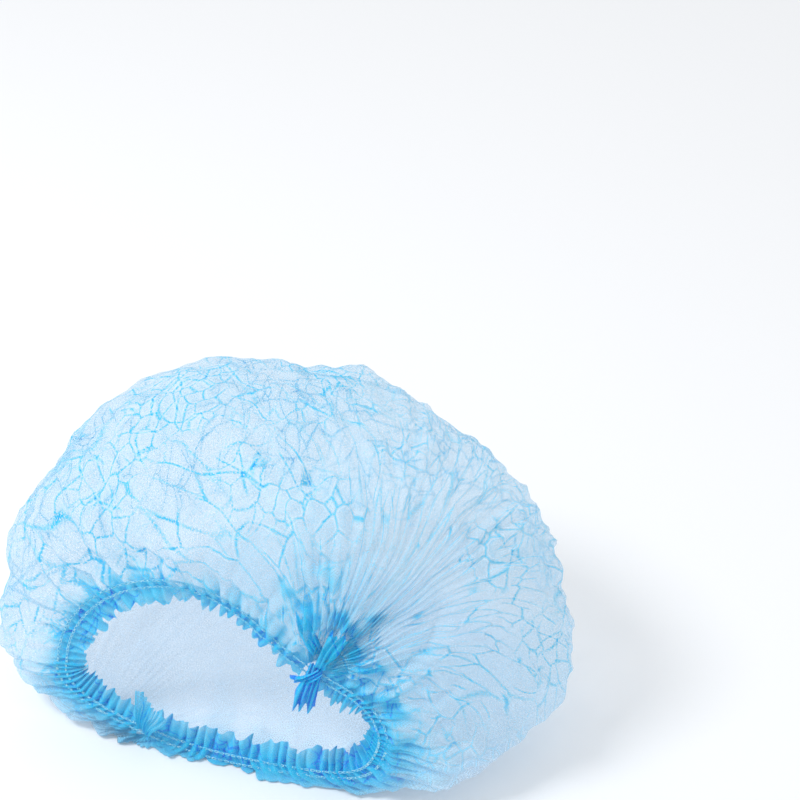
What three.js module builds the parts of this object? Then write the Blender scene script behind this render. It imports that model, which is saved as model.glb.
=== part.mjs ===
// A disposable hairnet: a light bag of nonwoven cloth, opened and laid on a flat surface.
// Millimetres, +Z up. The opening looks along -Y and the cap rests on the flat of its underside.
import * as THREE from 'three';

// Driving sizes
const crownWidth = 264;
const crownHeight = 165;
const crownDepth = 182;
const bellyHeight = 38;
const domeLean = 18;
const underSlump = 9;
const mouthTurn = 12;
const wall = 1;
const ruffle = 9;
const elasticGap = 4.5;
const elasticThick = 1.2;
const gatherHeight = 2;
const gathers = 32;
const clearance = 0.3;
const elasticSeat = 0.75;
const restSink = 4;
const bunchLength = 22;
const bunchWidth = 12;
const bunchThick = 5;

// Worked out from them
const halfWidth = crownWidth / 2;
const domeHeight = crownHeight - bellyHeight;
const around = gathers * 4;
const underHeight = bellyHeight + restSink;

// How full the section is: an ellipse is 2, and the underside is squarer where it sags
const topFullness = 2.4;
const underFullness = 2.3;

// Crown sections from the elastic to the back. back: share of crownDepth behind the elastic.
// slump: share of underSlump. wide: share of halfWidth. top: share of domeHeight.
// under: share of underHeight. pull: share of the mouth's pulls. The first is the ring that
// the inner elastic draws together.
const rings = [
  { back: 0.000, slump: 1.35, wide: 0.600, top: 0.470, under: 0.745, pull: 1.0 },
  { back: -0.010, slump: 1.25, wide: 0.700, top: 0.580, under: 0.905, pull: 0.8 },
  { back: -0.014, slump: 1.30, wide: 0.800, top: 0.680, under: 0.975, pull: 0.55 },
  { back: 0.020, slump: 1.15, wide: 0.895, top: 0.795, under: 1.000, pull: 0.30 },
  { back: 0.095, slump: 0.80, wide: 0.962, top: 0.885, under: 1.000, pull: 0.10 },
  { back: 0.205, slump: 0.40, wide: 0.997, top: 0.960, under: 1.000, pull: 0 },
  { back: 0.340, slump: 0.15, wide: 1.000, top: 1.000, under: 1.000, pull: 0 },
  { back: 0.485, slump: 0.00, wide: 0.980, top: 0.990, under: 1.000, pull: 0 },
  { back: 0.622, slump: 0.00, wide: 0.935, top: 0.940, under: 1.000, pull: 0 },
  { back: 0.740, slump: 0.00, wide: 0.860, top: 0.860, under: 0.960, pull: 0 },
  { back: 0.838, slump: 0.00, wide: 0.755, top: 0.750, under: 0.880, pull: 0 },
  { back: 0.910, slump: 0.00, wide: 0.625, top: 0.620, under: 0.760, pull: 0 },
  { back: 0.960, slump: 0.00, wide: 0.470, top: 0.465, under: 0.600, pull: 0 },
  { back: 0.988, slump: 0.00, wide: 0.300, top: 0.300, under: 0.400, pull: 0 },
  { back: 1.000, slump: 0.00, wide: 0.130, top: 0.135, under: 0.170, pull: 0 },
];

const [mouth, ...sections] = rings;

// Where the mouth is pulled out of its oval. turn and broad: degrees round the rim.
// across: share of halfWidth. up: share of domeHeight.
const pulls = [
  { turn: 52, broad: 32, across: -0.070, up: -0.150 },
  { turn: 318, broad: 24, across: 0.060, up: -0.030 },
  { turn: 195, broad: 34, across: -0.040, up: -0.020 },
];

// Rows of cloth at the rim. out: share of ruffle outward from the inner elastic.
// back: share of ruffle behind it. wave: share of gatherHeight.
const rimRows = [
  { out: -1.00, back: 0.45, wave: 1.25 },
  { out: -0.50, back: 0.18, wave: 1.10 },
  { out: 0.00, back: 0.00, wave: 1.00 },
];

// How far the gathers run back into each section, as a share of gatherHeight
const gatherFade = [1.2, 1.0, 0.7, 0.4, 0.2];

// Where the two ends of the sheet are drawn together on the rim, in degrees from +X
const bunches = [
  { name: 'end_bunch_right', turn: 46, lean: -30 },
  { name: 'end_bunch_left', turn: 243, lean: 4 },
];

// Pleats that fan out of an end bunch over the crown. from and to: degrees round the rim.
// reach: share of the way to the back. deep: share of wall. broad: share of halfWidth.
const pleats = [
  { from: 46, to: 118, reach: 0.80, deep: 5.0, broad: 0.085 },
  { from: 46, to: 88, reach: 0.95, deep: 4.0, broad: 0.080 },
  { from: 46, to: 60, reach: 0.90, deep: 5.5, broad: 0.090 },
  { from: 46, to: 33, reach: 0.85, deep: 4.5, broad: 0.080 },
  { from: 46, to: 8, reach: 0.75, deep: 5.5, broad: 0.085 },
  { from: 46, to: -18, reach: 0.60, deep: 5.0, broad: 0.080 },
  { from: 46, to: -42, reach: 0.45, deep: 4.0, broad: 0.075 },
  { from: 243, to: 222, reach: 0.45, deep: 4.5, broad: 0.080 },
  { from: 243, to: 196, reach: 0.65, deep: 5.0, broad: 0.085 },
  { from: 243, to: 172, reach: 0.75, deep: 4.5, broad: 0.080 },
  { from: 243, to: 282, reach: 0.45, deep: 3.0, broad: 0.075 },
];

// Broad dents, and bulges where deep is negative. turn: degrees. at: share of the way to the back. deep: share of wall.
const dents = [
  { turn: 188, at: 0.30, deep: 4, broad: 0.16 },
  { turn: 152, at: 0.40, deep: -5, broad: 0.30 },
  { turn: 112, at: 0.55, deep: 4, broad: 0.22 },
  { turn: 74, at: 0.36, deep: 5, broad: 0.20 },
  { turn: 24, at: 0.50, deep: 2, broad: 0.20 },
  { turn: 345, at: 0.45, deep: -6, broad: 0.30 },
];

const radians = THREE.MathUtils.degToRad;
const power = (value, exponent) => Math.sign(value) * Math.abs(value) ** exponent;
const turnBetween = (a, b) => Math.atan2(Math.sin(a - b), Math.cos(a - b));
const bump = (distance, broad) => Math.exp(-((distance / broad) ** 2));

// A point of a section ring, at an angle from +X towards +Z
function ringPoint(section, angle, fullness = 1) {
  const upper = Math.sin(angle) >= 0;
  const exponent = 1 + (2 / (upper ? topFullness : underFullness) - 1) * fullness;
  const rise = upper ? domeHeight * section.top : underHeight * section.under;
  const height = Math.sin(angle);
  const lean = domeLean * section.top * Math.max(height, 0);
  const across = halfWidth * section.wide * power(Math.cos(angle), exponent) - lean;
  let sideways = across;
  let raised = 0;
  for (const pull of pulls) {
    const part = section.pull * bump(turnBetween(angle, radians(pull.turn)), radians(pull.broad));
    sideways += part * pull.across * halfWidth;
    raised += part * pull.up * domeHeight;
  }
  const turned = sideways * Math.tan(radians(mouthTurn)) * (1 - section.back);
  return new THREE.Vector3(
    sideways,
    crownDepth * section.back - underSlump * section.slump * (1 - height) / 2 + turned,
    bellyHeight + rise * power(height, exponent) + raised,
  );
}

// Angles that space points evenly along the mouth ring
function evenAngles(count) {
  const fine = 2880;
  const lengths = [0];
  for (let i = 1; i <= fine; i += 1) {
    const before = ringPoint(mouth, (i - 1) / fine * 2 * Math.PI, 0);
    const after = ringPoint(mouth, i / fine * 2 * Math.PI, 0);
    lengths.push(lengths[i - 1] + before.distanceTo(after));
  }
  const angles = [];
  let at = 0;
  for (let i = 0; i < count; i += 1) {
    while (lengths[at] < lengths[fine] * i / count) at += 1;
    angles.push(at / fine * 2 * Math.PI);
  }
  return angles;
}

const angles = evenAngles(around);

// The outward direction of the mouth ring in its own plane
function mouthOutward(angle) {
  const step = 0.002;
  const along = ringPoint(mouth, angle + step, 0).sub(ringPoint(mouth, angle - step, 0));
  return new THREE.Vector3(along.z, 0, -along.x).normalize();
}

function rimPoint(row, angle) {
  const point = ringPoint(mouth, angle, 0);
  point.addScaledVector(mouthOutward(angle), row.out * ruffle);
  point.y += row.back * ruffle;
  return point;
}

const outerElasticRow = { out: elasticGap / ruffle, back: -0.05, wave: 1.05 };

// The smooth crown, row by row from the ruffle edge to the back
function smoothRows() {
  const rim = [...rimRows, outerElasticRow];
  const rows = rim.map((row) => angles.map((angle) => rimPoint(row, angle)));
  sections.forEach((section, index) => {
    const fullness = Math.min(1, (index + 1) / 4);
    rows.push(angles.map((angle) => ringPoint(section, angle, fullness)));
  });
  return rows;
}

// Unit normals of a grid of rows, pointing out of the bag
function rowNormals(rows) {
  return rows.map((row, r) => row.map((point, i) => {
    const next = row[(i + 1) % row.length];
    const before = row[(i + row.length - 1) % row.length];
    const back = rows[Math.min(r + 1, rows.length - 1)][i];
    const front = rows[Math.max(r - 1, 0)][i];
    const across = next.clone().sub(before);
    const along = back.clone().sub(front);
    return along.cross(across).normalize();
  }));
}

// How far along a pleat a row lies, and how deep the pleat is there
function pleatDepth(pleat, angle, share, radius) {
  const along = share / pleat.reach;
  if (along > 1.15) return 0;
  const turn = radians(pleat.from + (pleat.to - pleat.from) * Math.min(1, along) ** 0.7);
  const distance = turnBetween(angle, turn) * radius;
  const strength = Math.sin(Math.PI * Math.min(1, 0.12 + 0.88 * along / 1.15)) ** 0.6;
  return pleat.deep * wall * strength * bump(distance, pleat.broad * halfWidth);
}

// Depth of all pleats and dents together at a place on the crown
function foldDepth(angle, share, radius) {
  let depth = 0;
  for (const pleat of pleats) depth += pleatDepth(pleat, angle, share, radius);
  for (const dent of dents) {
    const sideways = turnBetween(angle, radians(dent.turn)) * radius;
    const lengthways = (share - dent.at) * crownDepth * 1.3;
    depth += dent.deep * wall * bump(Math.hypot(sideways, lengthways), dent.broad * halfWidth);
  }
  return depth;
}

function waveHeight(row) {
  const rim = [...rimRows, outerElasticRow];
  if (row < rim.length) return rim[row].wave * gatherHeight;
  return (gatherFade[row - rim.length] ?? 0) * gatherHeight;
}

// The crown's outer face, with its gathers, pleats, dents and the flat it rests on
function outerRows() {
  const rows = smoothRows();
  const normals = rowNormals(rows);
  const rimCount = rimRows.length + 1;
  return rows.map((row, r) => row.map((point, i) => {
    const share = Math.max(0, (r - rimCount + 1) / sections.length);
    const radius = Math.hypot(point.x, point.z - bellyHeight);
    const gather = waveHeight(r) * Math.sin(gathers * 2 * Math.PI * i / around);
    const fold = share > 0 ? foldDepth(angles[i], share, radius) : 0;
    const moved = point.clone().addScaledVector(normals[r][i], gather - fold);
    moved.z = Math.max(moved.z, 0);
    return moved;
  }));
}

function innerRows(outer) {
  const normals = rowNormals(outer);
  return outer.map((row, r) => row.map((point, i) => {
    const moved = point.clone().addScaledVector(normals[r][i], -wall);
    moved.z = Math.max(moved.z, wall);
    return moved;
  }));
}

// Joins rows of points into one closed skin and caps both ends with fans or a seam
function skin(triangles, rows, flip) {
  for (let r = 0; r + 1 < rows.length; r += 1) {
    const count = rows[r].length;
    for (let i = 0; i < count; i += 1) {
      const j = (i + 1) % count;
      const quad = [rows[r][i], rows[r][j], rows[r + 1][j], rows[r + 1][i]];
      const order = flip ? [0, 2, 1, 0, 3, 2] : [0, 1, 2, 0, 2, 3];
      order.forEach((corner) => triangles.push(quad[corner]));
    }
  }
}

function fan(triangles, row, centre, flip) {
  row.forEach((point, i) => {
    const next = row[(i + 1) % row.length];
    triangles.push(centre, ...(flip ? [point, next] : [next, point]));
  });
}

function centreOf(row) {
  const sum = row.reduce((total, point) => total.add(point), new THREE.Vector3());
  return sum.divideScalar(row.length);
}

function geometryOf(triangles) {
  const geometry = new THREE.BufferGeometry().setFromPoints(triangles);
  geometry.computeVertexNormals();
  return geometry;
}

// The crown: one sheet of cloth, as a hollow bag with its mouth open
function crownGeometry(outer) {
  const inner = innerRows(outer);
  const triangles = [];
  skin(triangles, outer, true);
  skin(triangles, inner, false);
  skin(triangles, [inner[0], outer[0]], true);
  const outerBack = outer[outer.length - 1];
  const innerBack = inner[inner.length - 1];
  fan(triangles, outerBack, centreOf(outerBack), false);
  fan(triangles, innerBack, centreOf(innerBack), true);
  return geometryOf(triangles);
}

// A closed ring of thread through a list of centres, square to the ring's own plane
function threadGeometry(centres, outwards) {
  const half = elasticThick / 2;
  const corners = [[1, 0], [0, 1], [-1, 0], [0, -1]];
  const rows = centres.map((centre, i) => corners.map(([out, forward]) => {
    const point = centre.clone().addScaledVector(outwards[i], out * half);
    point.y -= forward * half;
    return point;
  }));
  const triangles = [];
  skin(triangles, [...rows, rows[0]], true);
  return geometryOf(triangles);
}

// The elastics lie on the crests of the gathers, on the crown's outer face
function elasticGeometry(row, smooth) {
  const normals = rowNormals(smooth);
  const lift = waveHeight(row) + elasticSeat + elasticThick / 2;
  const picks = angles.map((_, i) => i).filter((i) => i % 2 === 1);
  const centres = picks.map((i) => smooth[row][i].clone().addScaledVector(normals[row][i], lift));
  return threadGeometry(centres, picks.map((i) => mouthOutward(angles[i])));
}

// A bunched end of the sheet: a pleated tail that widens from its stitched waist
const bunchRows = [
  { along: -0.45, wide: 0.55, thick: 0.55 },
  { along: -0.12, wide: 0.42, thick: 0.85 },
  { along: 0.12, wide: 0.50, thick: 0.80 },
  { along: 0.36, wide: 0.80, thick: 0.95 },
  { along: 0.55, wide: 1.00, thick: 0.60 },
];

function bunchGeometry() {
  const points = 20;
  const rows = bunchRows.map((row) => Array.from({ length: points }, (_, i) => {
    const angle = i / points * 2 * Math.PI;
    const pleat = i % 2 ? 0.72 : 1;
    return new THREE.Vector3(
      bunchLength * row.along,
      bunchThick / 2 * row.thick * pleat * Math.sin(angle),
      bunchWidth / 2 * row.wide * pleat * Math.cos(angle),
    );
  }));
  const triangles = [];
  skin(triangles, rows, true);
  fan(triangles, rows[0], centreOf(rows[0]), true);
  fan(triangles, rows[rows.length - 1], centreOf(rows[rows.length - 1]), false);
  return geometryOf(triangles);
}

function cloth(color, roughness) {
  return new THREE.MeshStandardMaterial({ color, roughness, metalness: 0, side: THREE.DoubleSide });
}

const paleCloth = cloth('#b9dcf4', 0.7);
const gatheredCloth = cloth('#1f9be6', 0.65);
const elasticThread = cloth('#d6f2fb', 0.55);

function named(name, geometry, material) {
  const mesh = new THREE.Mesh(geometry, material);
  mesh.name = name;
  return mesh;
}

function buildCap() {
  const cap = new THREE.Group();
  const smooth = smoothRows();
  cap.add(named('crown', crownGeometry(outerRows()), paleCloth));
  cap.add(named('elastic_inner', elasticGeometry(rimRows.length - 1, smooth), elasticThread));
  cap.add(named('elastic_outer', elasticGeometry(rimRows.length, smooth), elasticThread));

  // Each bunch points into the mouth, in front of the ruffle and clear of the elastics
  const lift = gatherHeight * 1.25 + clearance + bunchThick / 2;
  const reach = bunchLength * 0.45 + elasticThick + clearance;
  const mouthAxis = new THREE.Vector3(0, 1, 0);
  for (const bunch of bunches) {
    const angle = radians(bunch.turn);
    const inward = mouthOutward(angle).negate().applyAxisAngle(mouthAxis, radians(bunch.lean));
    const mesh = named(bunch.name, bunchGeometry(), gatheredCloth);
    mesh.position.copy(ringPoint(mouth, angle, 0)).addScaledVector(inward, reach);
    mesh.position.y -= lift;
    mesh.rotation.y = Math.atan2(-inward.z, inward.x);
    cap.add(mesh);
  }
  return cap;
}

// The origin is the bottom centre of the whole part's box
const cap = buildCap();
const box = new THREE.Box3().setFromObject(cap);
const middle = box.getCenter(new THREE.Vector3());
cap.position.set(-middle.x, -middle.y, -box.min.z);

const part = new THREE.Group();
part.add(cap);
export default part;
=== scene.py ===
# %% [markdown]
# # A disposable hairnet
# The cap is one sheet of thin nonwoven cloth. Two elastic threads draw its long edges into a
# mouth, and its two short ends are bunched and stitched where those edges meet. Opened and laid
# down, the cloth balloons behind the mouth and keeps the creases of its folding.

# %% Load the frame
import math

import bpy
import numpy as np
from mathutils import Matrix, Vector


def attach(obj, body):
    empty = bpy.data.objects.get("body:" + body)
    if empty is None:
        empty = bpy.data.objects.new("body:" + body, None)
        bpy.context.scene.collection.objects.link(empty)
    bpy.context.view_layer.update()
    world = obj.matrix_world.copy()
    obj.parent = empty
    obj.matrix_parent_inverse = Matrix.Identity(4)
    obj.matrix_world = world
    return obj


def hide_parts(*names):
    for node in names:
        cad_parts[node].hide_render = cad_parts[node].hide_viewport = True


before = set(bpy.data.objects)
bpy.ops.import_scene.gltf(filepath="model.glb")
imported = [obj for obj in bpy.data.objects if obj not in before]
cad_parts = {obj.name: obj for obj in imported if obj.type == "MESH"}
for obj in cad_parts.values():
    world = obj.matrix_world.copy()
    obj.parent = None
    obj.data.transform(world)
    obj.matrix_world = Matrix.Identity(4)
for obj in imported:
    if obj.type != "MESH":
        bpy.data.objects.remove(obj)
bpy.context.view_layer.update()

# %% [markdown]
# The camera comes first. It looks down on the cap at 36 degrees and from its right, with a
# slight roll, and shows it low and to the left of the picture. A long lens and a small shift
# give that framing without bending the shape.

# %% Camera
PICTURE = 800
AIM_PIXEL = (310.2, 539.0)
AIM = Vector((0.0, 0.0, 0.085))
AZIMUTH, ELEVATION, ROLL = (math.radians(degrees) for degrees in (30.5, 36.0, 1.5))
DISTANCE = 1.15
PIXELS_PER_METRE = 1971.0
SENSOR = 36.0

camera_data = bpy.data.cameras.new("camera")
camera_data.sensor_width = SENSOR
camera_data.lens = PIXELS_PER_METRE * DISTANCE * SENSOR / PICTURE
camera_data.shift_x = (PICTURE / 2 - AIM_PIXEL[0]) / PICTURE
camera_data.shift_y = (AIM_PIXEL[1] - PICTURE / 2) / PICTURE
camera = bpy.data.objects.new("camera", camera_data)
bpy.context.scene.collection.objects.link(camera)
toward_camera = Vector((
    math.sin(AZIMUTH) * math.cos(ELEVATION),
    -math.cos(AZIMUTH) * math.cos(ELEVATION),
    math.sin(ELEVATION),
))
camera.location = AIM + toward_camera * DISTANCE
turned_to_aim = toward_camera.to_track_quat("Z", "Y").to_matrix()
camera.rotation_euler = (turned_to_aim @ Matrix.Rotation(ROLL, 3, "Z")).to_euler()
bpy.context.scene.camera = camera
print("lens", round(camera_data.lens, 1), "mm, shift", round(camera_data.shift_x, 3),
      round(camera_data.shift_y, 3))

# %% [markdown]
# The smooth form of the bag is the one that the CAD solid has, before any gathers. It is a stack
# of rings from the mouth to the back, each given as shares of a few sizes. Reading in-between
# rings off a smooth curve gives a point anywhere on the bag from two numbers: the turn round the
# mouth, from +X towards +Z, and the share of the way to the back.

# %% Sizes of the bag, in metres
HALF_WIDTH, HEIGHT, DEPTH = 0.132, 0.165, 0.182
BELLY = 0.038
DOME_LEAN = 0.018
UNDER_SLUMP = 0.009
MOUTH_TURN = math.radians(12)
REST_SINK = 0.004
TOP_FULLNESS, UNDER_FULLNESS = 2.4, 2.3
RUFFLE = 0.009
ELASTIC_GAP = 0.0045
MOUTH_TO_ORIGIN = np.array([0.00066, -0.07391, 0.0])

# back, slump, wide, top, under, pull, squareness of the ring
RINGS = np.array([
    (0.000, 1.35, 0.600, 0.470, 0.745, 1.00, 0.00),
    (-0.010, 1.25, 0.700, 0.580, 0.905, 0.80, 0.25),
    (-0.014, 1.30, 0.800, 0.680, 0.975, 0.55, 0.50),
    (0.020, 1.15, 0.895, 0.795, 1.000, 0.30, 0.75),
    (0.095, 0.80, 0.962, 0.885, 1.000, 0.10, 1.00),
    (0.205, 0.40, 0.997, 0.960, 1.000, 0.00, 1.00),
    (0.340, 0.15, 1.000, 1.000, 1.000, 0.00, 1.00),
    (0.485, 0.00, 0.980, 0.990, 1.000, 0.00, 1.00),
    (0.622, 0.00, 0.935, 0.940, 1.000, 0.00, 1.00),
    (0.740, 0.00, 0.860, 0.860, 0.960, 0.00, 1.00),
    (0.838, 0.00, 0.755, 0.750, 0.880, 0.00, 1.00),
    (0.910, 0.00, 0.625, 0.620, 0.760, 0.00, 1.00),
    (0.960, 0.00, 0.470, 0.465, 0.600, 0.00, 1.00),
    (0.988, 0.00, 0.300, 0.300, 0.400, 0.00, 1.00),
    (1.000, 0.00, 0.130, 0.135, 0.170, 0.00, 1.00),
    (1.002, 0.00, 0.000, 0.000, 0.000, 0.00, 1.00),
])

# turn and breadth in degrees, pull across and up in metres: how the mouth leaves its oval
PULLS = (
    (52, 32, -0.00924, -0.01905),
    (318, 24, 0.00792, -0.00381),
    (195, 34, -0.00528, -0.00254),
)


def signed_power(value, exponent):
    return np.sign(value) * np.abs(value) ** exponent


def bump(distance, broad):
    return np.exp(-(distance / broad) ** 2)


def turn_between(a, b):
    return np.arctan2(np.sin(a - b), np.cos(a - b))


def ring_point(turn, back, slump, wide, top, under, pull, square):
    height = np.sin(turn)
    fullness = np.where(height >= 0, TOP_FULLNESS, UNDER_FULLNESS)
    exponent = 1 + (2 / fullness - 1) * square
    rise = np.where(height >= 0, (HEIGHT - BELLY) * top, (BELLY + REST_SINK) * under)
    lean = DOME_LEAN * top * np.maximum(height, 0)
    x = HALF_WIDTH * wide * signed_power(np.cos(turn), exponent) - lean
    z = BELLY + rise * signed_power(height, exponent)
    for at, broad, across, up in PULLS:
        part = pull * bump(turn_between(turn, math.radians(at)), math.radians(broad))
        x = x + part * across
        z = z + part * up
    y = DEPTH * back - UNDER_SLUMP * slump * (1 - height) / 2
    y = y + x * math.tan(MOUTH_TURN) * (1 - back)
    return np.stack([x, y, z], -1) + MOUTH_TO_ORIGIN


# %% [markdown]
# The share is counted by length of cloth, so that one step of it is about the same distance
# anywhere on the bag. The ruffle runs on past the elastic, towards the hole and forwards.

# %% Share of the way to the back, by length of cloth
RUFFLE_FORWARD = 0.42
probe = np.array([ring_point(np.radians([20.0, 90.0, 160.0]), *ring) for ring in RINGS])
steps = np.linalg.norm(np.diff(probe, axis=0), axis=-1).mean(1)
RING_SHARE = np.concatenate([[0], np.cumsum(steps)])
RIM_TO_BACK = RING_SHARE[-1]
RING_SHARE = RING_SHARE / RIM_TO_BACK
print("mean way from the elastic to the back:", round(RIM_TO_BACK * 1000), "mm")


def smooth_between(knots, values, at):
    """Hermite curve through a table, with slopes from neighbouring rows."""
    slopes = np.gradient(values, knots, axis=0)
    i = np.clip(np.searchsorted(knots, at, side="right") - 1, 0, len(knots) - 2)
    width = knots[i + 1] - knots[i]
    t = np.clip((at - knots[i]) / width, 0, 1)[..., None]
    width = width[..., None]
    first = (1 + 2 * t) * (1 - t) ** 2 * values[i] + t * (1 - t) ** 2 * width * slopes[i]
    second = t * t * (3 - 2 * t) * values[i + 1] + t * t * (t - 1) * width * slopes[i + 1]
    return first + second


def bag_point(turn, share):
    """A point of the smooth bag. A negative share runs out along the ruffle."""
    turn, share = np.asarray(turn, float), np.asarray(share, float)
    ring = smooth_between(RING_SHARE, RINGS, np.maximum(share, 0))
    point = ring_point(turn, *np.moveaxis(ring, -1, 0))
    along = ring_point(turn + 0.01, *RINGS[0]) - ring_point(turn - 0.01, *RINGS[0])
    inward = np.stack([-along[..., 2], 0 * turn, along[..., 0]], -1)
    inward = inward / np.linalg.norm(inward, axis=-1, keepdims=True)
    out = np.minimum(share, 0)[..., None] * RIM_TO_BACK
    return point - out * (inward + np.array([0, RUFFLE_FORWARD, 0]))


# %% [markdown]
# The true distance from the elastic differs round the mouth, because the lower side is short.
# A table of it lets the gathers, the coloured band and the second elastic keep their distance.

# %% Distance in from the elastic, by turn and share
TURN_STEP, SHARE_STEPS = 3, 100
TABLE_TURNS = np.radians(np.arange(0, 360 + TURN_STEP, TURN_STEP))
TABLE_SHARES = np.linspace(0, 1, SHARE_STEPS + 1)
table = bag_point(*np.meshgrid(TABLE_TURNS, TABLE_SHARES, indexing="ij"))
steps = np.linalg.norm(np.diff(table, axis=1), axis=-1)
REACH = np.concatenate([np.zeros((len(TABLE_TURNS), 1)), np.cumsum(steps, 1)], 1)
print("cloth from the elastic to the back:", (REACH[:, -1].min() * 1000).round(), "to",
      (REACH[:, -1].max() * 1000).round(), "mm")


def distance_in(turn, share):
    """Metres of cloth between the elastic and a point of the bag."""
    row = np.mod(np.degrees(turn), 360) / TURN_STEP
    column = np.clip(share, 0, 0.9999) * SHARE_STEPS
    i, j = row.astype(int), column.astype(int)
    s, t = row - i, column - j
    near = REACH[i, j] * (1 - t) + REACH[i, j + 1] * t
    far = REACH[i + 1, j] * (1 - t) + REACH[i + 1, j + 1] * t
    return near * (1 - s) + far * s


def share_at(turn, distance):
    """The share at which a short distance from the elastic is reached."""
    scale = np.interp(np.degrees(turn), np.degrees(TABLE_TURNS), REACH[:, 2] * 50, period=360)
    return distance / scale


# %% [markdown]
# The sheet is a rectangle, so its grid has to run from one bunched end to the other. Its long
# edges are the two sides of the mouth, and every thread across it goes from the upper side,
# over the back, to the lower side. The complex function tanh turns a strip into a disc with just
# this pattern: lines that leave the rim squarely, and lines that all meet in two points.

# %% The two bunched ends on the mouth
BUNCH_RIGHT, BUNCH_LEFT = math.radians(46), math.radians(243)
ALONG, ACROSS = 340, 284
END_GAP = 0.012
RUFFLE_ROWS = 11


def turn_of(angle):
    """Spreads the disc's upper and lower half over the two sides of the mouth."""
    upper = BUNCH_LEFT - BUNCH_RIGHT
    lower = 2 * math.pi - upper
    angle = np.mod(angle, 2 * math.pi)
    low_turn = upper + (angle - math.pi) / math.pi * lower
    return BUNCH_RIGHT + np.where(angle <= math.pi, angle / math.pi * upper, low_turn)


def sheet_to_bag(along, across):
    """Turn and share of a place on the sheet. across is 0 and 1 at the two elastics."""
    angle = math.pi * (1 - along)
    x = -0.5 * np.log(np.tan(angle / 2))
    y = (0.5 - np.clip(across, 0, 1)) * math.pi / 2
    disc = np.tanh(x + 1j * y)
    outside = np.maximum(-across, 0) + np.maximum(across - 1, 0)
    share = np.where(outside > 0, -outside, 1 - np.minimum(np.abs(disc), 1))
    return turn_of(np.angle(disc)), share


# %% [markdown]
# Cut flat, the sheet is a rectangle of 0.56 by 0.48 metres. Its grid has finer rows near the
# elastics, where the folds are small, and some more rows for the ruffle beyond them.

# %% Lay out the grid of the sheet
FLAT = (0.56, 0.48)
ROW_CROWDING = 0.97
RUFFLE_EASE = 1.05
along = END_GAP + (1 - 2 * END_GAP) * np.linspace(0, 1, ALONG + 1)
spread = np.linspace(-1, 1, ACROSS - 2 * RUFFLE_ROWS + 1)
spread = 0.5 + 0.5 * np.sin(spread * ROW_CROWDING) / math.sin(ROW_CROWDING)
ruffle_share = RUFFLE * RUFFLE_EASE / RIM_TO_BACK
ruffle_rows = ruffle_share * np.linspace(1 / RUFFLE_ROWS, 1, RUFFLE_ROWS)
across = np.concatenate([-ruffle_rows[::-1], spread, 1 + ruffle_rows])
U, V = np.meshgrid(along, across, indexing="ij")
turn, share = sheet_to_bag(U, V)
smooth = bag_point(turn, share)
print("grid", smooth.shape[:2], "box in mm", (smooth.min((0, 1)) * 1000).round(1),
      (smooth.max((0, 1)) * 1000).round(1))

# %% [markdown]
# A thin sheet that is too big for the space it fills cannot shrink, so it buckles. Near the
# elastic it buckles into fine gathers, which join into fewer and wider folds further in. The
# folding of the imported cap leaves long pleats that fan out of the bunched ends, and handling
# leaves straight, sharp creases all over. Each of these is one layer of height over the smooth
# bag, so each can be judged and changed by itself. A cloth simulation could gather the sheet
# too, but it would need far more points for folds this fine.

# %% Noise that is the same on every run
LATTICE = np.random.default_rng(21).uniform(-1, 1, (64, 64, 64))


def noise(points, size, offset=0.0):
    """Smooth random height between -1 and 1, with features of about a given size."""
    place = points / size + 31.7 + offset
    cell = np.floor(place).astype(int)
    t = place - cell
    t = t * t * (3 - 2 * t)
    total = 0.0
    for corner in np.ndindex(2, 2, 2):
        weight = np.prod(np.where(corner, t, 1 - t), axis=-1)
        x, y, z = np.moveaxis((cell + corner) % 64, -1, 0)
        total = total + weight * LATTICE[x, y, z]
    return total


def triangle_wave(phase):
    return 2 * np.abs(2 * (phase - np.floor(phase + 0.5))) - 1


# %% The ruffle's ragged edge, and distances that the folds depend on
RAGGED = 0.38
side_of_mouth = np.where(V < 0.5, 0.0, 3.1)
ragged_edge = 1 + RAGGED * noise(np.stack([U * 85, side_of_mouth, 0 * U], -1), 1.0)
share = np.where(share < 0, share * ragged_edge, share)
smooth = bag_point(turn, share)
rim_distance = distance_in(turn, share) + np.maximum(-share, 0) * RIM_TO_BACK
on_ruffle = np.clip(-share * RIM_TO_BACK / RUFFLE, 0, 1)
bunch_points = {"right": bag_point(BUNCH_RIGHT, 0), "left": bag_point(BUNCH_LEFT, 0)}
bunch_distance = {side: np.linalg.norm(smooth - place, axis=-1)
                  for side, place in bunch_points.items()}
near_bunch = np.minimum(bunch_distance["right"], bunch_distance["left"])
print("bunches in mm", {side: (place * 1000).round(1).tolist()
                        for side, place in bunch_points.items()})

# %% Gathers along the elastic
# count, height, reach, start and seed, with lengths in metres
FINE_GATHERS = (46, 0.0020, 0.017, 0, 4.2)
MIDDLE_GATHERS = (21, 0.0032, 0.036, 0.006, 11.0)
WIDE_GATHERS = (9.5, 0.0046, 0.080, 0.018, 17.0)
FREE_OF_BUNCH = 0.010


def along_rim(stretch, seed, depth=0.0):
    """Places for noise that changes along the elastic, and with depth also away from it."""
    return np.stack([U * stretch + seed, rim_distance * depth, side_of_mouth], -1)


def gathers(count, height, reach, start, seed):
    """Waves along the elastic that fade over a reach of cloth."""
    wander = noise(along_rim(9, seed), 1.0) * 1.0 + noise(along_rim(26, seed, 60), 1.0) * 0.4
    phase = U * count + wander
    wave = np.abs(np.cos(math.pi * phase)) ** 0.8 * 2 - 1.1
    swing = 0.85 + 0.55 * noise(along_rim(33, seed + 5, 40), 1.0)
    fade = np.exp(-(rim_distance / reach) ** 1.3)
    rise = 1 - np.exp(-(rim_distance / start) ** 2) if start else 1.0
    return height * wave * swing * fade * rise


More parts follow.
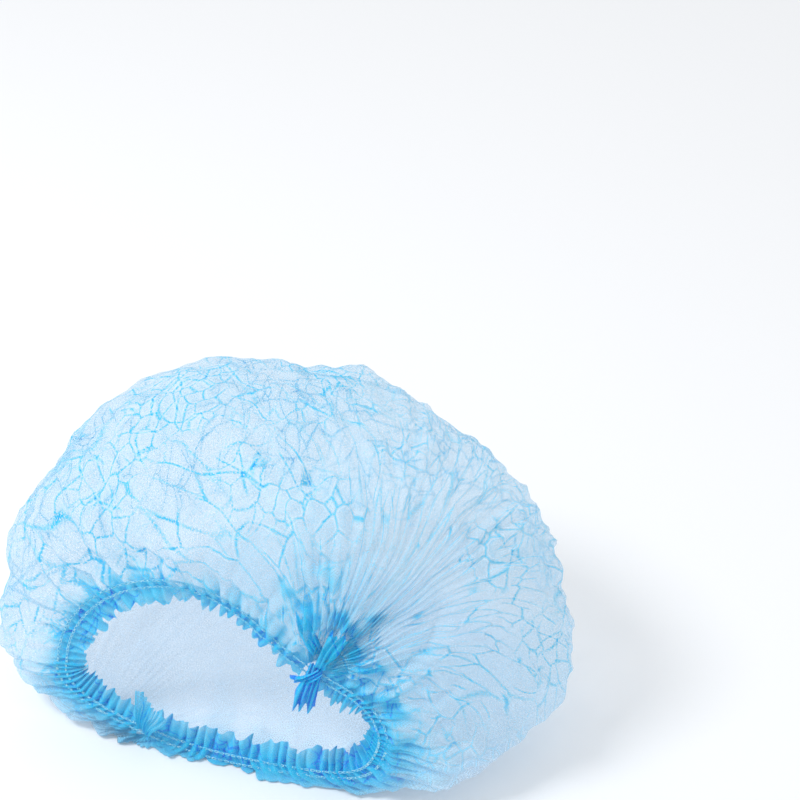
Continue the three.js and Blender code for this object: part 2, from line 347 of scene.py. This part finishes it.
fine = gathers(*FINE_GATHERS) * (1 + 0.9 * on_ruffle)
middle = gathers(*MIDDLE_GATHERS)
wide = gathers(*WIDE_GATHERS)
gather_height = (fine + middle + wide) * (1 - bump(near_bunch, FREE_OF_BUNCH))
print("gathers up to mm", round(float(gather_height.max()) * 1000, 1))

# %% Pleats from the folding, which fan out of the bunches
PLEATS = 30
PLEAT_DEPTH, FAN_DEPTH = 0.0011, 0.0032
FAN_REACH = {"right": 0.075, "left": 0.042}
pleat_wander = noise(smooth, 0.055) * 0.95 + noise(smooth, 0.022, 9.0) * 0.35
pleat_wave = triangle_wave(np.clip(V, 0, 1) * PLEATS + pleat_wander)
pleat_place = np.stack([V * 19, U * 4, 0 * U], -1)
pleat_strength = np.clip(0.55 + 0.6 * noise(pleat_place, 1.0, 3.0), 0.1, 1)
fan = {side: bump(bunch_distance[side] - 0.004, reach) for side, reach in FAN_REACH.items()}
pleat_depth = PLEAT_DEPTH + FAN_DEPTH * np.maximum(fan["right"], fan["left"])
pleat_depth = pleat_depth * np.clip(near_bunch / 0.020, 0.20, 1)
pleat_height = pleat_wave * pleat_strength * pleat_depth * (1 - bump(rim_distance, 0.006))

# %% [markdown]
# A creased sheet is made of small flats that meet in sharp edges. Random cells have just such
# edges: each cell rises or sinks from its border at a steady slope. Four sizes of cells lie over
# each other, two of them in the sheet and stretched along it, as the folding would leave them.

# %% Creases from handling
# size of the cells in metres, steepness, seed, and whether they lie in the sheet
CREASES = (
    (0.040, 0.28, 5, False),
    (0.024, 0.30, 8, True),
    (0.0125, 0.39, 12, False),
    (0.0085, 0.36, 17, True),
)


def facets(points, size, seed):
    """Flat-sided bumps and hollows that meet in straight creases."""
    jitter = np.random.default_rng(seed).uniform(0, 1, (32, 32, 32, 3))
    sign = np.random.default_rng(seed + 1).uniform(-1, 1, (32, 32, 32))
    place = points / size + 40
    cell = np.floor(place).astype(int)
    nearest = np.full(points.shape[:-1], 9.0)
    second = nearest.copy()
    side = np.zeros(points.shape[:-1])
    for step in np.ndindex(3, 3, 3):
        at = cell + np.array(step) - 1
        key = tuple(np.moveaxis(at % 32, -1, 0))
        distance = np.linalg.norm(at + jitter[key] - place, axis=-1)
        closer = distance < nearest
        second = np.where(closer, nearest, np.minimum(second, distance))
        side = np.where(closer, sign[key], side)
        nearest = np.where(closer, distance, nearest)
    return np.minimum(second - nearest, 0.7) * side * size


warp = np.stack([noise(smooth, 0.028, offset) for offset in (2.0, 13.0, 29.0)], -1) * 0.007
on_sheet = np.stack([U * FLAT[0] * 0.45, V * FLAT[1], 0 * U], -1) + warp
in_space = smooth * np.array([1.0, 0.8, 1.2]) + warp
crease_height = np.zeros_like(U)
for size, steepness, seed, in_sheet in CREASES:
    patch = np.clip(0.75 + noise(smooth, 0.045, seed * 3.0), 0.2, 1.2)
    crease_height += facets(on_sheet if in_sheet else in_space, size, seed) * steepness * patch
crease_height += noise(smooth, 0.0060, 8.8) * 0.00035
crease_height *= 1 - 0.70 * np.exp(-rim_distance / 0.010)
print("creases up to mm", round(float(np.abs(crease_height).max()) * 1000, 1))

# %% Broad dents and bulges of a bag that stands by its own stiffness
# turn in degrees, share of the way to the back, height and breadth in metres
BULGES = ((152, 0.40, 0.005, 0.040), (345, 0.45, 0.006, 0.040))
dent_height = noise(smooth, 0.075, 1.9) * 0.0036 + noise(smooth, 0.038, 6.1) * 0.0024
dent_height *= 1 - bump(rim_distance, 0.035)
for at, share_in, height, broad in BULGES:
    distance = np.linalg.norm(smooth - bag_point(math.radians(at), share_in), axis=-1)
    dent_height += height * bump(distance, broad)
print("dents up to mm", round(float(np.abs(dent_height).max()) * 1000, 1))

# %% [markdown]
# The layers are added up along the outward normals of the smooth bag. Where that would push the
# cloth through the floor it is pressed flat instead, as its own weight does.

# %% Put the layers on the smooth bag
def normals_of(grid):
    normal = np.cross(np.gradient(grid, axis=0), np.gradient(grid, axis=1))
    return normal / np.maximum(np.linalg.norm(normal, axis=-1, keepdims=True), 1e-12)


FLOOR_GAP, FLOOR_BEND = 0.0004, 0.003
outward = normals_of(smooth)
if ((smooth - smooth.mean((0, 1))) * outward).sum(-1).mean() < 0:
    outward = -outward
height = gather_height + pleat_height + crease_height + dent_height
cloth_points = smooth + outward * height[..., None]
low = cloth_points[..., 2]
pressed = FLOOR_GAP + (FLOOR_BEND - FLOOR_GAP) * np.exp((low - FLOOR_BEND) / FLOOR_BEND)
cloth_points[..., 2] = np.where(low < FLOOR_BEND, pressed, low)
print("cloth box in mm", (cloth_points.min((0, 1)) * 1000).round(1),
      (cloth_points.max((0, 1)) * 1000).round(1))

# %% [markdown]
# The grid becomes one open, single-layer mesh. It keeps each point's place on the flat sheet, so
# that the material can draw fibres and creases that belong to the cloth and not to the bag.

# %% Make the mesh of the sheet
def grid_mesh(name, grid):
    rows, columns = grid.shape[:2]
    index = np.arange(rows * columns).reshape(rows, columns)
    faces = np.stack([index[:-1, :-1], index[1:, :-1], index[1:, 1:], index[:-1, 1:]], -1)
    mesh = bpy.data.meshes.new(name)
    mesh.from_pydata(grid.reshape(-1, 3).tolist(), [], faces.reshape(-1, 4).tolist())
    mesh.polygons.foreach_set("use_smooth", [True] * len(mesh.polygons))
    mesh.update()
    piece = bpy.data.objects.new(name, mesh)
    bpy.context.scene.collection.objects.link(piece)
    return piece


def store(piece, **values):
    """Keeps one number for each point of the mesh, for the material to read."""
    for name, numbers in values.items():
        layer = piece.data.attributes.new(name, "FLOAT", "POINT")
        layer.data.foreach_set("value", np.asarray(numbers, dtype=np.float32).ravel())


def lay_flat(piece, along_sheet, across_sheet):
    """Gives each point its place on the flat sheet, in metres, as the UV map named cloth."""
    uv = piece.data.uv_layers.new(name="cloth")
    corner_point = np.empty(len(piece.data.loops), dtype=np.int32)
    piece.data.loops.foreach_get("vertex_index", corner_point)
    flat = np.stack([along_sheet.ravel(), across_sheet.ravel()], -1)[corner_point]
    uv.data.foreach_set("uv", flat.astype(np.float32).ravel())


crown_cloth = grid_mesh("crown_cloth", cloth_points)
lay_flat(crown_cloth, U * FLAT[0], V * FLAT[1])
area = sum(face.area for face in crown_cloth.data.polygons)
print("cloth", len(crown_cloth.data.polygons), "faces,", round(area, 4), "m2 of",
      round(FLAT[0] * FLAT[1], 3))

# %% [markdown]
# The colour of this cloth comes from how many layers lie on each other, with painted shade and
# light added. So the sheet carries three numbers for its material: how tightly it is drawn
# together, how deep in a fold a point lies, for painted shade in the fold valleys, and how
# crumpled it is, which is low on the cloth on the floor within the bag, where a painted pale
# light goes. The band of strong colour is narrow over the top of the mouth and broad below it,
# where the bag's weight presses the gathers together.

# %% How tightly the cloth is drawn
# turn in degrees, breadth of the band in metres, strength
BAND = np.array([
    (0, 0.0170, 0.84), (46, 0.0175, 0.88), (75, 0.0100, 0.86), (110, 0.0080, 0.82),
    (150, 0.0100, 0.82), (185, 0.0135, 0.84), (220, 0.0180, 0.88), (260, 0.0290, 0.92),
    (300, 0.0330, 0.92), (335, 0.0260, 0.90),
])
degrees = np.degrees(turn)
breadth = np.interp(degrees, BAND[:, 0], BAND[:, 1], period=360)
strength = np.interp(degrees, BAND[:, 0], BAND[:, 2], period=360)
streak = noise(along_rim(70, 2.0, 12), 1.0)
breadth = breadth * np.clip(1 + 0.75 * streak, 0.35, 2)
drawn = strength * np.exp(-(rim_distance / breadth) ** 1.4)
drawn = np.where(share < 0, strength * (0.95 - 0.30 * on_ruffle + 0.25 * streak), drawn)
to_bunch = np.clip(0.75 + 0.6 * noise(np.stack([V * 34, 0 * U, 0 * U], -1), 1.0, 5.0), 0.2, 1)
drawn = np.maximum(drawn, 1.00 * to_bunch * bump(bunch_distance["right"], 0.027))
drawn = np.maximum(drawn, 0.45 * to_bunch * bump(bunch_distance["right"], 0.060))
drawn = np.maximum(drawn, 0.80 * to_bunch * bump(bunch_distance["left"], 0.020))

# %% Packed layers round the right bunch, painted shade in the fold valleys, crumpling and painted light within the bag
# place and size in metres, strength
PATCHES = (
    ((0.060, -0.064, 0.098), 0.0115, 0.95),
    ((0.066, -0.064, 0.086), 0.0085, 0.85),
    ((0.074, -0.063, 0.078), 0.0080, 0.70),
    ((0.072, -0.060, 0.103), 0.0080, 0.45),
    ((0.040, -0.069, 0.097), 0.0120, 0.75),
    ((0.030, -0.069, 0.108), 0.0090, 0.50),
    ((0.048, -0.066, 0.118), 0.0110, 0.45),
    ((0.084, -0.061, 0.056), 0.0110, 0.75),
    ((0.093, -0.058, 0.038), 0.0110, 0.60),
)
ragged = np.clip(0.80 + 0.9 * noise(smooth, 0.0065, 4.4), 0.1, 1.3)
for place, size, strength in PATCHES:
    patch = bump(np.linalg.norm(smooth - np.array(place), axis=-1), size)
    drawn = np.maximum(drawn, np.clip(strength * ragged * patch, 0, 1))
# painted shade: a deeper colour in the valleys of the folds and a paler one on their crests
hollow = np.clip(0.5 - (gather_height + pleat_height + 0.5 * crease_height) / 0.0045, 0, 1)
# the cloth on the floor within the bag, away from the rim, is less crumpled and gets a painted
# pale light
underside = bump(np.maximum(smooth[..., 2] - 0.004, 0), 0.030) * (1 - bump(rim_distance, 0.030))
crumpled = 1 - 0.75 * underside
store(crown_cloth, drawn=drawn, hollow=hollow, crumpled=crumpled)
print("drawn together on", round(float((drawn > 0.5).mean()) * 100), "% of the grid")

# %% [markdown]
# Each elastic is a covered thread that lies among the outer crests of the gathers, and a chain
# stitch holds it there. The crests hide it in places, so that it shows as a line of dashes. The
# thread is a closed curve with a round section, turned into a mesh. One loop of the stitch is
# modelled once and copied along it.

# %% A ring on the outside of the gathers
def ring_on_bag(distance, lift, count):
    turns = np.linspace(0, 2 * math.pi, count, endpoint=False)
    shares = share_at(turns, distance)
    middle = bag_point(turns, shares)
    ahead = bag_point(turns + 0.004, shares) - middle
    inward = bag_point(turns, shares + 0.01) - middle
    normal = np.cross(ahead, inward)
    normal = normal / np.linalg.norm(normal, axis=-1, keepdims=True)
    normal = normal * np.sign(-normal[:, 1].mean())
    ahead = ahead / np.linalg.norm(ahead, axis=-1, keepdims=True)
    wander = noise(np.stack([middle[:, 0], middle[:, 2], 0 * turns + distance * 40], -1), 0.0035)
    return middle + normal * (lift + 0.0003 * wander)[:, None], ahead, normal


def select_only(piece):
    bpy.ops.object.select_all(action="DESELECT")
    piece.select_set(True)
    bpy.context.view_layer.objects.active = piece


def join(pieces, name):
    bpy.ops.object.select_all(action="DESELECT")
    for piece in pieces:
        piece.select_set(True)
    bpy.context.view_layer.objects.active = pieces[0]
    bpy.ops.object.join()
    bpy.context.object.name = name
    bpy.ops.object.shade_smooth()
    return bpy.context.object


def thread(name, points, radius):
    curve = bpy.data.curves.new(name, "CURVE")
    curve.dimensions = "3D"
    curve.bevel_depth, curve.bevel_resolution = radius, 1
    spline = curve.splines.new("POLY")
    spline.points.add(len(points) - 1)
    spline.points.foreach_set("co", np.append(points, np.ones((len(points), 1)), 1).ravel())
    spline.use_cyclic_u = True
    piece = bpy.data.objects.new(name, curve)
    bpy.context.scene.collection.objects.link(piece)
    select_only(piece)
    bpy.ops.object.convert(target="MESH")
    bpy.ops.object.shade_smooth()
    return bpy.context.object


THREAD_RADIUS = 0.00036
THREAD_LIFT = 0.0009
ELASTIC_DISTANCES = {"elastic_inner": 0.0, "elastic_outer": ELASTIC_GAP}
threads = {}
for node, distance in ELASTIC_DISTANCES.items():
    points, _, _ = ring_on_bag(distance, THREAD_LIFT, 620)
    threads[node] = thread(node + "_thread", points, THREAD_RADIUS)
print("threads", {node: len(piece.data.polygons) for node, piece in threads.items()})

# %% The chain stitch, one loop and its copies
STITCH_PITCH = 0.0024
bpy.ops.object.select_all(action="DESELECT")
bpy.ops.mesh.primitive_torus_add(
    major_radius=0.00052, minor_radius=0.00016, major_segments=10, minor_segments=4)
loop = bpy.context.object
bpy.ops.object.mode_set(mode="EDIT")
bpy.ops.transform.resize(value=(2.1, 1.0, 1.3))
bpy.ops.object.mode_set(mode="OBJECT")


def stitch_line(name, distance):
    points, ahead, normal = ring_on_bag(distance, THREAD_LIFT + 0.0004, 4000)
    length = np.linalg.norm(np.diff(points, axis=0), axis=1).sum()
    count = int(length / STITCH_PITCH)
    copies = []
    for k in (np.arange(count) * len(points) / count).astype(int):
        axes = np.stack([ahead[k], np.cross(normal[k], ahead[k]), normal[k]], 1)
        rows = [[*row, at] for row, at in zip(axes, points[k])]
        mesh = loop.data.copy()
        mesh.transform(Matrix(rows + [[0, 0, 0, 1]]))
        copy = bpy.data.objects.new(name, mesh)
        bpy.context.scene.collection.objects.link(copy)
        copies.append(copy)
    return join(copies, name), count


stitches = {}
for node, distance in ELASTIC_DISTANCES.items():
    stitches[node], count = stitch_line(node + "_stitches", distance)
    print(node, "has", count, "stitches")
bpy.data.objects.remove(loop)

# %% [markdown]
# At each end the whole width of the sheet is drawn into a space of about a centimetre and comes
# out of the stitches as a small fan of pleats. It is the darkest part of the cap, because so
# many layers lie together. Each fan is a narrow strip folded in zigzags. The right one is a
# crumpled knot with a folded strip above it, and the left one flares softly into the mouth.

# %% The bunched ends
def pleated_fan(name, start, end, front, widths, depth, pleats, arch, tones, seed):
    """A strip pleated lengthwise. widths and tones are given at its start and its end."""
    start, end, front = np.array(start), np.array(end), np.array(front, float)
    length = np.linalg.norm(end - start)
    down = (end - start) / length
    side = np.cross(down, front)
    side = side / np.linalg.norm(side)
    lifted = np.cross(side, down)
    t = np.linspace(0, 1, 34)[:, None]
    c = np.linspace(0, 1, pleats * 8 + 1)[None]
    spot = np.stack([c * pleats * 0.9 + 0 * t, t * 3 + 0 * c, 0 * t + 0 * c + seed], -1)
    zigzag = triangle_wave(c * pleats + 0.3 * noise(spot, 1.3))
    ragged = 1 + 0.16 * noise(spot * np.array([1.7, 0, 1]), 1.0, 7.0)
    along_fan = length * t * ragged
    half_width = (widths[0] + (widths[1] - widths[0]) * t ** 1.3) / 2
    across_fan = (c - 0.5) * 2 * half_width * (1 + 0.25 * noise(spot, 1.6, 2.0))
    lift = zigzag * depth * (0.8 + 0.4 * noise(spot, 1.1, 4.0)) * (0.5 + 0.5 * t)
    lift = lift + arch * np.sin(math.pi * t) + depth * 0.9 * noise(spot, 1.9, 11.0)
    points = (start + along_fan[..., None] * down + across_fan[..., None] * side
              + lift[..., None] * lifted)
    piece = grid_mesh(name, points)
    lay_flat(piece, t * length + 0 * c, c * pleats * depth * 5 + 0 * t)
    tone = tones[0] + (tones[1] - tones[0]) * t + 0.10 * noise(spot, 0.8, 5.0)
    # painted shade in the valleys of the pleats, paler on their crests
    store(piece, drawn=tone, hollow=np.clip(0.5 - 0.5 * zigzag, 0, 1), crumpled=0 * tone + 1)
    print(name, "from", (points.reshape(-1, 3).min(0) * 1000).round(1), "to",
          (points.reshape(-1, 3).max(0) * 1000).round(1))
    return piece


right_parts = [
    pleated_fan("knot", (0.0460, -0.0685, 0.0700), (0.0413, -0.0735, 0.0452), (0.4, -1, 0.2),
                (0.008, 0.011), 0.0022, 4, 0.0030, (1.10, 1.02), 3.3),
    pleated_fan("knot_fold", (0.0490, -0.0695, 0.0680), (0.0370, -0.0725, 0.0590), (0.4, -1, 0.2),
                (0.004, 0.008), 0.0018, 3, 0.0024, (1.05, 0.95), 6.6),
    pleated_fan("strip", (0.0470, -0.0685, 0.0770), (0.0375, -0.0715, 0.0990), (0.3, -1, 0.4),
                (0.007, 0.0065), 0.0014, 3, 0.0020, (0.95, 0.75), 5.1),
    pleated_fan("fold", (0.0480, -0.0690, 0.0690), (0.0590, -0.0700, 0.0950), (0.3, -1, 0.3),
                (0.006, 0.0100), 0.0015, 3, 0.0016, (0.85, 0.66), 9.4),
]
left_parts = [
    pleated_fan("flare", (-0.0385, -0.0960, 0.0085), (-0.0310, -0.0985, 0.0310), (0, -1, 0.5),
                (0.008, 0.022), 0.0012, 9, 0.0015, (0.85, 0.38), 8.1),
]
bunched_right = join(right_parts, "bunched_end_right")
bunched_left = join(left_parts, "bunched_end_left")

# %% [markdown]
# Shader nodes are easier to read as sums and products. A small class wraps one socket, so that
# arithmetic on it adds the Math nodes, and one method adds any other node.

# %% Shader arithmetic
class Value:
    def __init__(self, tree, socket):
        self.tree, self.socket = tree, socket

    def math(self, operation, *others):
        return self.tree.node("ShaderNodeMath", {"operation": operation}, [self, *others])

    def __add__(self, other):
        return self.math("ADD", other)

    def __sub__(self, other):
        return self.math("SUBTRACT", other)

    def __rsub__(self, other):
        return (self * -1).math("ADD", other)

    def __mul__(self, other):
        return self.math("MULTIPLY", other)

    __radd__, __rmul__ = __add__, __mul__

    def clamp(self, low=0.0, high=1.0):
        return self.math("MAXIMUM", low).math("MINIMUM", high)


class Tree:
    """One material's nodes."""

    def __init__(self, name):
        self.material = bpy.data.materials.new(name)
        self.material.use_nodes = True
        self.nodes = self.material.node_tree.nodes
        self.links = self.material.node_tree.links
        self.nodes.clear()

    def node(self, kind, settings=None, inputs=None, output=0):
        made = self.nodes.new(kind)
        for name, value in (settings or {}).items():
            if name == "stops":
                ramp = made.color_ramp
                while len(ramp.elements) < len(value):
                    ramp.elements.new(0.5)
                for element, (place, shade) in zip(ramp.elements, value):
                    element.position, element.color = place, shade
            else:
                setattr(made, name, value)
        pairs = inputs.items() if isinstance(inputs, dict) else enumerate(inputs or [])
        for key, value in pairs:
            if isinstance(value, Value):
                self.links.new(value.socket, made.inputs[key])
            else:
                made.inputs[key].default_value = value
        return Value(self, made.outputs[output])

    def attribute(self, name):
        return self.node("ShaderNodeAttribute", {"attribute_name": name}, output="Fac")

    def noise(self, place, scale, output="Fac", dimensions="2D"):
        inputs = {"Vector": place, "Scale": scale, "Detail": 0.0}
        return self.node("ShaderNodeTexNoise", {"noise_dimensions": dimensions}, inputs, output)

    def edges(self, place, scale, dimensions="2D"):
        """Distance to the edges of random cells, counted in cells."""
        settings = {"feature": "DISTANCE_TO_EDGE", "voronoi_dimensions": dimensions}
        return self.node("ShaderNodeTexVoronoi", settings, {"Vector": place, "Scale": scale},
                         "Distance")

    def vector(self, operation, *values):
        return self.node("ShaderNodeVectorMath", {"operation": operation}, values)

    def mix(self, factor, first, second):
        return self.node("ShaderNodeMix", {"data_type": "RGBA", "clamp_factor": True},
                         {0: factor, 6: first, 7: second}, 2)

    def finished(self, shader):
        end = self.nodes.new("ShaderNodeOutputMaterial")
        self.links.new(shader.socket, end.inputs["Surface"])
        return self.material


def colour(text):
    """A Blender colour from the six hex digits that a picture shows."""
    parts = [int(text[i:i + 2], 16) / 255 for i in (0, 2, 4)]
    linear = [c / 12.92 if c < 0.04045 else ((c + 0.055) / 1.055) ** 2.4 for c in parts]
    return (*linear, 1.0)


# %% [markdown]
# Spunbond cloth is a felt of fine glued fibres. One layer lets most of the light through, so the
# bag is pale where it is one or two layers deep, and strongly blue where the elastic packs many
# layers together. A sharp crease is two layers seen edge on, and shows as a thin line of
# stronger colour; here such lines are painted in as shade along the creases, with a painted
# highlight beside each, and the valleys of the folds get painted shade too. The material adds up
# the layers and the painted shade as one depth, and takes both the colour and how much shows
# through from it. On top come painted glints, a painted pale light on the cloth within the bag,
# and a painted glow.

# %% Nonwoven cloth
# depth of cloth and its colour, from one layer to a packed knot
DEPTH_COLOURS = (
    (0.0, "BADDF3"), (0.28, "78D2EE"), (0.44, "26C4EC"),
    (0.68, "00BEEC"), (0.93, "00A2E6"), (1.0, "0672E2"),
)
FIBRES_PER_METRE = 1500.0


def nonwoven(name):
    tree = Tree(name)
    flat = tree.node("ShaderNodeUVMap", {"uv_map": "cloth"})
    place = tree.node("ShaderNodeTexCoord", output="Object")
    drawn = tree.attribute("drawn")
    sway = tree.noise(place, 34.0, "Color", "3D")
    bent = tree.vector("MULTIPLY_ADD", sway, (0.010, 0.010, 0.010), place)
    bent_flat = tree.vector("MULTIPLY_ADD", sway, (0.012, 0.012, 0.0), flat)
    fibres = tree.noise(flat, FIBRES_PER_METRE)
    cloud = tree.noise(place, 24.0, dimensions="3D")
    patch = tree.noise(flat, 47.0)

    # creases: each is a line of painted shade with a painted highlight beside it, in patches, and
    # broken up by the fibres
    long_edges = tree.edges(tree.vector("MULTIPLY", bent_flat, (14.0, 90.0, 0.0)), 1.0)
    fine = tree.edges(tree.vector("MULTIPLY", bent, (118.0, 88.0, 50.0)), 1.0, "3D") * 17.0
    broad = tree.edges(tree.vector("MULTIPLY", bent_flat, (32.0, 86.0, 0.0)), 1.0) * 21.0
    some, others = (cloud * 6.0 - 2.6).clamp(), (patch * 6.0 - 2.5).clamp()
    fine_crease_shade = (1 - fine).clamp() * some
    broad_crease_shade = (1 - broad).clamp() * others
    painted_crease_highlight = ((1 - (fine - 1.8).math("ABSOLUTE")).clamp() * some
                + (1 - (broad - 1.8).math("ABSOLUTE")).clamp() * others)
    painted_crease_highlight = (painted_crease_highlight * (1 - drawn * 1.6).clamp()).clamp()
    long_crease_shade = (1 - long_edges * 14.0).clamp() * (cloud * -6.0 + 3.3).clamp() * 0.7
    broken = (fibres * 3.4 - 0.7).clamp()
    painted_crease_shade = (fine_crease_shade + broad_crease_shade + long_crease_shade) * broken * tree.attribute("crumpled")

    # depth of cloth with painted shade in fold valleys and creases, its colour, a painted pale
    # light on the cloth within the bag, and how much shows through
    depth = (drawn * (tree.attribute("hollow") * 0.32 + 0.62) + painted_crease_shade * 0.52
             + (cloud - 0.5) * 0.18 + (fibres - 0.5) * 0.30 + 0.05).clamp()
    stops = [(at, colour(text)) for at, text in DEPTH_COLOURS]
    body = tree.node("ShaderNodeValToRGB", {"stops": stops}, [depth])
    # painted pale light on the cloth lying within the bag, which would be in shade
    painted_inside_light = (1 - tree.attribute("crumpled")).clamp()
    body = tree.mix(painted_inside_light, body, colour("F3F6FC"))
    # painted glints: white specks on the packed cloth
    painted_glints = (fibres * 6.0 - 3.8).clamp() * drawn * 0.4
    body = tree.mix(painted_glints + painted_crease_highlight * 0.50, body, colour("F2FAFE"))
    alpha = (depth * 1.3 + (fibres - 0.5) * 0.34 + painted_crease_highlight * 0.20 + 0.30).clamp(0.0, 0.985)

    # a painted glow, standing in for light that the cloth scatters through itself, paler within
    # the bag, and the surface itself
    painted_glow = tree.mix(painted_inside_light, tree.mix(0.6, body, colour("000000")), colour("F6F6FF"))
    relief = tree.node("ShaderNodeBump", None, {
        "Strength": 0.45, "Distance": 0.0004, "Height": fibres})
    shader = tree.node("ShaderNodeBsdfPrincipled", None, {
        "Base Color": body, "Roughness": 0.55, "Alpha": alpha, "Normal": relief,
        "Specular IOR Level": 0.2, "Emission Color": painted_glow, "Emission Strength": 0.24})
    glow = tree.node("ShaderNodeBsdfTranslucent", None, {
        "Color": colour("B9DCF7"), "Normal": relief})
    clear = tree.node("ShaderNodeBsdfTransparent")
    thin = tree.node("ShaderNodeMixShader", None, [alpha, clear, glow])
    through = (0.42 - depth * 0.36).clamp()
    return tree.finished(tree.node("ShaderNodeMixShader", None, [through, shader, thin]))


def finish(piece, material, node):
    piece.data.materials.clear()
    piece.data.materials.append(material)
    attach(piece, "root")
    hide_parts(node)


cloth_finish = nonwoven("nonwoven_cloth")
finish(crown_cloth, cloth_finish, "crown")
finish(bunched_right, cloth_finish, "end_bunch_right")
finish(bunched_left, cloth_finish, "end_bunch_left")
print("cloth material has", len(cloth_finish.node_tree.nodes), "nodes")

# %% [markdown]
# The elastic is wound with a pale yarn, and the stitching thread is white with a touch of the
# cloth's blue. A fine twist across the thread catches the light unevenly.

# %% Elastic and stitches
def yarn(name, light, dark, twist):
    tree = Tree(name)
    place = tree.node("ShaderNodeTexCoord", output="Object")
    wave = tree.node("ShaderNodeTexNoise", None, {"Vector": place, "Scale": twist, "Detail": 1.0})
    body = tree.mix((wave * 2.4 - 0.7).clamp(), dark, light)
    relief = tree.node("ShaderNodeBump", None, {
        "Strength": 0.4, "Distance": 0.0003, "Height": wave})
    shader = tree.node("ShaderNodeBsdfPrincipled", None, {
        "Base Color": body, "Roughness": 0.5, "Normal": relief, "Specular IOR Level": 0.3})
    return tree.finished(shader)


elastic_finish = yarn("elastic_yarn", colour("6FD2F2"), colour("1E9FE0"), 1700.0)
stitch_finish = yarn("stitch_thread", colour("C4F0FB"), colour("4CC2EC"), 900.0)
for node in ELASTIC_DISTANCES:
    finish(threads[node], elastic_finish, node)
    finish(stitches[node], stitch_finish, node)

# %% [markdown]
# The floor is plain and nearly white, and the light is soft and comes from above and the left,
# as in a bright studio picture. See-through layers need many transparent bounces, or a deep
# stack of cloth turns black.

# %% Stage and light
bpy.ops.object.select_all(action="DESELECT")
bpy.ops.mesh.primitive_plane_add(size=6, location=(0, 0, 0))
floor = bpy.context.object
floor.name = "floor"
paint = Tree("floor_paint")
matt = paint.node("ShaderNodeBsdfPrincipled", None, {
    "Base Color": colour("F7F9FC"), "Roughness": 0.9, "Specular IOR Level": 0.1})
floor.data.materials.append(paint.finished(matt))

world = bpy.data.worlds.new("studio")
bpy.context.scene.world = world
world.use_nodes = True
world.node_tree.nodes["Background"].inputs["Color"].default_value = colour("FFFFFF")
world.node_tree.nodes["Background"].inputs["Strength"].default_value = 0.80


def area_light(name, place, size, power):
    data = bpy.data.lights.new(name, "AREA")
    data.shape, data.size, data.energy = "DISK", size, power
    light = bpy.data.objects.new(name, data)
    bpy.context.scene.collection.objects.link(light)
    light.location = place
    aim = Vector((0, 0, 0.07)) - Vector(place)
    light.rotation_euler = aim.to_track_quat("-Z", "Y").to_euler()


area_light("key", (-0.7, -0.9, 1.5), 0.6, 15.0)
scene = bpy.context.scene
scene.view_settings.view_transform = "Standard"
scene.cycles.transparent_max_bounces = 14
scene.cycles.max_bounces = 3
print("lights", [light.name for light in bpy.data.lights])
